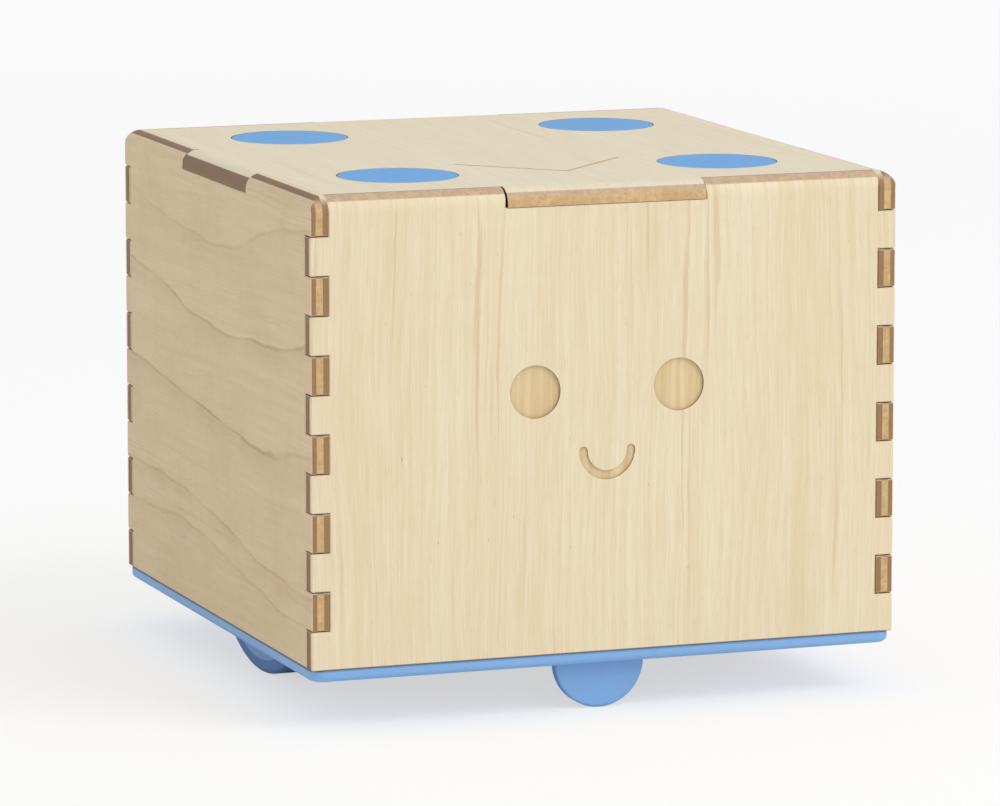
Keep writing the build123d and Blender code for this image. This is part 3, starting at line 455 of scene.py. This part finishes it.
def softwood():
    """Plain planed pine for the blocks inside the corners."""
    paint = Paint("softwood")
    across = paint.dot(paint.place, (1.0, 0.35, 0.0))
    along = paint.dot(paint.place, UP)
    rings = paint.streaks(across, along, PINE_RINGS, seed=7.0)
    fibre = paint.streaks(across, along, PINE_FIBRES, seed=9.0)
    colour = paint.mix(paint.rise(rings, 0.35, 0.7), PINE_PALE, PINE_RING)
    # Painted shade: darker deep in gaps and corners
    colour = paint.mix(paint.times(paint.crevice(), 0.6), colour, PINE_PAINTED_SHADE)
    return paint.finish(colour, paint.scaled(fibre, 0.6, 0.8), fibre, bump=0.04)


# ---- Plastics and rubber -------------------------------------------------------------
def moulded(name, colours, roughness=0.42, relief=0.02, gloss=0.45, seam=False):
    """Moulded plastic: fine texture, a little mottling, paler edges (wear with a painted highlight) and
    painted shade in corners.
    seam paints a shadow line where the base meets the walls."""
    own, worn, mottled_and_shaded = colours
    paint = Paint(name)
    texture = paint.noise(paint.place, scale=3.2, detail=3.0, roughness=0.65)
    clouds = paint.noise(paint.place, scale=0.06, detail=3.0)
    scuffs = paint.noise(paint.place, scale=0.5, detail=5.0, roughness=0.75, distortion=1.5)
    body = paint.mix(paint.scaled(clouds, 0.0, 0.25), own, mottled_and_shaded)
    # Paler edges: wear together with a painted highlight
    body = paint.mix(paint.times(paint.edge(radius=0.5), 0.5), body, worn)
    body = paint.stain(body, worn, scuffs, over=(0.62, 0.75), strength=0.12)
    # Painted shade: darker deep in corners and gaps
    body = paint.mix(paint.times(paint.crevice(), 0.7), body, mottled_and_shaded)
    if seam:
        # Painted shadow: a dark line along the top of the base, under the walls
        below = paint.minus(SEAM_HEIGHT, paint.dot(paint.place, UP))
        body = paint.stain(body, SEAM_PAINTED_SHADOW, below, over=(SEAM_WIDTH, 0.0), strength=0.75)
    sheen = paint.plus(paint.swing(texture, 0.06), paint.scaled(scuffs, -0.08, 0.1), roughness)
    return paint.finish(body, sheen, texture, relief, Specular_IOR_Level=gloss)


def rubber(name, colour, dusty):
    """Matt rubber, a little dusty where it has rolled."""
    paint = Paint(name)
    texture = paint.noise(paint.place, scale=2.2, detail=4.0, roughness=0.7)
    dust = paint.noise(paint.place, scale=0.22, detail=4.0, roughness=0.6)
    body = paint.stain(colour, dusty, dust, over=(0.45, 0.75), strength=0.3)
    body = paint.mix(paint.times(paint.edge(radius=0.6), 0.35), body, dusty)
    return paint.finish(body, paint.scaled(texture, 0.62, 0.82), texture, bump=0.03)


# ---- Metals and electronics ----------------------------------------------------------
def metal(name, colours, roughness, brushing=BRUSHED):
    """Metal with fine brushing, long along the axes where brushing is small."""
    bright, tarnish = colours
    paint = Paint(name)
    stretched = paint.node("VectorMath", {0: paint.place, 1: brushing}, operation="MULTIPLY").outputs[0]
    scratches = paint.noise(stretched, scale=6.0, detail=4.0, roughness=0.7)
    stains = paint.noise(paint.place, scale=0.3, detail=3.0)
    body = paint.stain(bright, tarnish, stains, over=(0.45, 0.75), strength=0.35)
    body = paint.mix(paint.times(paint.crevice(), 0.6), body, tarnish)
    sheen = paint.scaled(scratches, roughness - 0.08, roughness + 0.1)
    return paint.finish(body, sheen, scratches, bump=0.004, Metallic=1.0)


def cell_jacket():
    """A battery cell's plain sleeve, silver towards both ends, and its bare metal ends."""
    paint = Paint("cell_jacket")
    from_middle = paint.size(paint.dot(paint.place, EAST))
    band = paint.rise(from_middle, CELL_BAND, CELL_BAND + 0.3)
    rub = paint.noise(paint.place, scale=0.8, detail=5.0, roughness=0.7)
    colour = paint.mix(band, SLEEVE_BLUE, SLEEVE_SILVER)
    colour = paint.stain(colour, SLEEVE_RUBBED, rub, over=(0.55, 0.8), strength=0.3)
    caps = paint.rise(from_middle, CELL_CAP, CELL_CAP + 0.4)
    return paint.finish(colour, paint.scaled(rub, 0.2, 0.35), rub, bump=0.005, Metallic=caps)


def board_green():
    """Solder mask with faint tracks, which run north in some patches and east in the others."""
    paint = Paint("board_green")
    x, y = paint.dot(paint.place, EAST), paint.dot(paint.place, NORTH)

    def tracks(place_across):
        turn = paint.math("FRACT", paint.over(place_across, TRACK_PITCH))
        return paint.times(paint.rise(turn, *TRACK_START), paint.rise(turn, *TRACK_END))

    corner = [paint.math("SNAP", line, size) for line, size in zip((x, y), TRACK_PATCH)]
    northward = paint.rise(paint.noise(paint.point(*corner, 0.5), scale=3.1), 0.5, 0.51)
    eastward = paint.minus(1.0, northward)
    copper = paint.larger(paint.times(tracks(x), northward), paint.times(tracks(y), eastward))
    colour = paint.mix(paint.times(copper, 0.5), MASK_GREEN, TRACK_GREEN)
    weave = paint.noise(paint.place, scale=1.5, detail=2.0)
    return paint.finish(colour, paint.scaled(weave, 0.25, 0.4), copper, bump=0.03)


def dress_rest():
    """Every CAD node other than the panels."""
    blue = moulded("blue_moulding", BLUE)
    grey = moulded("grey_plastic", PALE_GREY)
    nylon = moulded("white_nylon", NYLON, roughness=0.35)
    black = moulded("black_plastic", BLACK, roughness=0.5, relief=0.03)
    steel = metal("steel", STEEL, roughness=0.32)
    brass = metal("brass", BRASS, roughness=0.28)
    plated = metal("plated_steel", PLATED, roughness=0.24, brushing=UNBRUSHED)
    magnet = metal("magnet", MAGNET, roughness=0.55, brushing=UNBRUSHED)
    dress(blue, "front_foot", "rear_foot", "battery_door", "left_wheel", "right_wheel")
    dress(moulded("blue_base", BLUE, seam=True), "base_plate")
    dress(moulded("blue_cap", CAP_BLUE, roughness=0.5, gloss=0.2), "lid_caps")
    dress(softwood(), "corner_blocks")
    dress(black, "battery_box", "power_switch_body", "power_switch_slider")
    dress(cell_jacket(), "battery_cells")
    dress(board_green(), "circuit_board")
    dress(moulded("chip_black", CHIP_BLACK, roughness=0.6, relief=0.03), "controller_chips", "buzzer")
    dress(nylon, "motor_end_caps", "wire_connectors")
    dress(moulded("wire_red", WIRE_RED, roughness=0.35), "motor_wires", "battery_wires")
    dress(moulded("wire_grey", WIRE_GREY, roughness=0.35), "switch_wires")
    dress(steel, "gear_pins")
    dress(brass, "axle_bushes")
    dress(magnet, "motor_magnets")
    for screwed in ("base", "battery_box", "battery_door", "gearbox", "board"):
        dress(plated, screwed + "_screws")
    dress(plated, "battery_springs", "battery_contacts", "radio_module", "capacitors")
    for side in ("left_", "right_"):
        dress(grey, side + "gearbox_case", side + "gearbox_cover")
        dress(nylon, side + "first_gear", side + "second_gear", side + "output_gear")
        dress(steel, side + "motor_can", side + "motor_rotor", side + "axle")
        dress(brass, side + "motor_pinion")
        dress(plated, side + "wheel_screw")


# ---- New pieces ----------------------------------------------------------------------
def mesh_object(name, build, material):
    """A mesh built by a function that fills a bmesh."""
    shape = bmesh.new()
    build(shape)
    mesh = bpy.data.meshes.new(name)
    shape.to_mesh(mesh)
    shape.free()
    mesh.materials.append(material)
    made = bpy.data.objects.new(name, mesh)
    bpy.context.scene.collection.objects.link(made)
    return made


def tyre_profile(inner, outer, half_width):
    """Half of a tyre's section as (radius, distance from the middle) pairs."""
    points = [(inner, half_width)]
    for step in range(SHOULDER_STEPS + 1):
        angle = step / SHOULDER_STEPS * pi / 2
        radius = outer - TYRE_SHOULDER + TYRE_SHOULDER * sin(angle)
        points.append((radius, half_width - TYRE_SHOULDER + TYRE_SHOULDER * cos(angle)))
    groove = half_width * GROOVE_PLACE
    points.append((outer, groove + GROOVE_TOP_HALF))
    points.append((outer - GROOVE_DEPTH, groove + GROOVE_FLOOR_HALF))
    points.append((outer - GROOVE_DEPTH, groove - GROOVE_FLOOR_HALF))
    points.append((outer, groove - GROOVE_TOP_HALF))
    return points


def tyre(side, material):
    """The tyre with two fine grooves round its tread, in place of the CAD ring."""
    low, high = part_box(side + "_tyre")
    middle = (low + high) / 2
    outer = (high.z - low.z) / 2
    half_profile = tyre_profile(outer - TYRE_WALL, outer, (high.x - low.x) / 2)
    profile = half_profile + [(radius, -x) for radius, x in reversed(half_profile)]

    def build(shape):
        rings = []
        for turn in range(TYRE_TURNS):
            angle = 2 * pi * turn / TYRE_TURNS
            ring = []
            for radius, x in profile:
                y, z = radius * cos(angle), radius * sin(angle)
                ring.append(shape.verts.new(middle + Vector((x, y, z))))
            rings.append(ring)
        for turn in range(TYRE_TURNS):
            here, ahead = rings[turn], rings[(turn + 1) % TYRE_TURNS]
            for index in range(len(profile)):
                after = (index + 1) % len(profile)
                shape.faces.new((here[index], here[after], ahead[after], ahead[index]))
        bmesh.ops.recalc_face_normals(shape, faces=shape.faces)
        for face in shape.faces:
            face.smooth = True

    made = mesh_object(side + "_tyre_tread", build, material)
    made.modifiers.new("flat_sides", "EDGE_SPLIT").split_angle = SHARP_EDGE
    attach(made, side + "_wheel_set")
    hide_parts(side + "_tyre")


# ---- Surroundings --------------------------------------------------------------------
def floor_material():
    """Matt white, turning into the backdrop's own brightness far from the object."""
    paint = Paint("floor")
    away = paint.node("VectorMath", {0: paint.place}, operation="LENGTH").outputs["Value"]
    colour = paint.mix(paint.noise(paint.place, scale=0.4, detail=3.0), FLOOR_DULL, FLOOR_BRIGHT)
    surface = paint.node("BsdfPrincipled", {"Base Color": colour, "Roughness": 0.9}).outputs[0]
    glow = paint.node("Emission", {"Color": WHITE, "Strength": BACKDROP}).outputs[0]
    far = paint.scaled(paint.rise(away, *FLOOR_FADE), FLOOR_GLOW, 1.0)
    seen = paint.node("LightPath").outputs["Is Camera Ray"]
    mixed = paint.node("MixShader", {0: paint.times(far, seen), 1: surface, 2: glow}).outputs[0]
    paint.node("OutputMaterial", {0: mixed})
    return paint.material


def make_floor():
    corners = ((-1, -1), (1, -1), (1, 1), (-1, 1))

    def build(shape):
        shape.faces.new([shape.verts.new((x * FLOOR_HALF, y * FLOOR_HALF, 0)) for x, y in corners])

    floor = mesh_object("floor", build, floor_material())
    return floor


def make_sky():
    """Even light from all round; the camera sees it as bright as the floor."""
    world = bpy.data.worlds.new("studio")
    bpy.context.scene.world = world
    world.use_nodes = True
    tree = world.node_tree
    tree.nodes.clear()
    seen = tree.nodes.new("ShaderNodeLightPath").outputs["Is Camera Ray"]
    strength = tree.nodes.new("ShaderNodeMapRange")
    strength.inputs["To Min"].default_value = SKY_STRENGTH
    strength.inputs["To Max"].default_value = BACKDROP
    background = tree.nodes.new("ShaderNodeBackground")
    background.inputs["Color"].default_value = WHITE
    output = tree.nodes.new("ShaderNodeOutputWorld")
    tree.links.new(seen, strength.inputs["Value"])
    tree.links.new(strength.outputs[0], background.inputs["Strength"])
    tree.links.new(background.outputs[0], output.inputs["Surface"])


def make_key_light():
    data = bpy.data.lights.new("key", "AREA")
    data.shape = "SQUARE"
    data.size = KEY_SIZE
    data.energy = KEY_WATTS
    light = bpy.data.objects.new("key", data)
    direction = Vector(KEY_DIRECTION).normalized()
    light.location = CENTRE + direction * KEY_DISTANCE
    light.rotation_euler = direction.to_track_quat("Z", "Y").to_euler()
    light.visible_camera = False
    bpy.context.scene.collection.objects.link(light)


def make_camera():
    data = bpy.data.cameras.new("camera")
    data.lens = CAMERA_LENS
    camera = bpy.data.objects.new("camera", data)
    camera.location = CAMERA_PLACE
    camera.rotation_euler = (Vector(CAMERA_PLACE) - CENTRE).to_track_quat("Z", "Y").to_euler()
    bpy.context.scene.collection.objects.link(camera)
    bpy.context.scene.camera = camera
    return camera


def hide_from_below(floor, camera):
    """The floor isn't rendered when the camera is under it, so that the underside shows."""
    driver = floor.driver_add("hide_render").driver
    driver.type = "SCRIPTED"
    height = driver.variables.new()
    height.name = "height"
    height.type = "TRANSFORMS"
    height.targets[0].id = camera
    height.targets[0].transform_type = "LOC_Z"
    driver.expression = "height < 0"


dress_panels()
dress_rest()
blue_rubber = rubber("blue_rubber", RUBBER_BLUE, RUBBER_DUST)
for wheel_side in ("left", "right"):
    tyre(wheel_side, blue_rubber)
scene_floor = make_floor()
make_sky()
make_key_light()
hide_from_below(scene_floor, make_camera())
bpy.context.scene.view_settings.view_transform = "Standard"
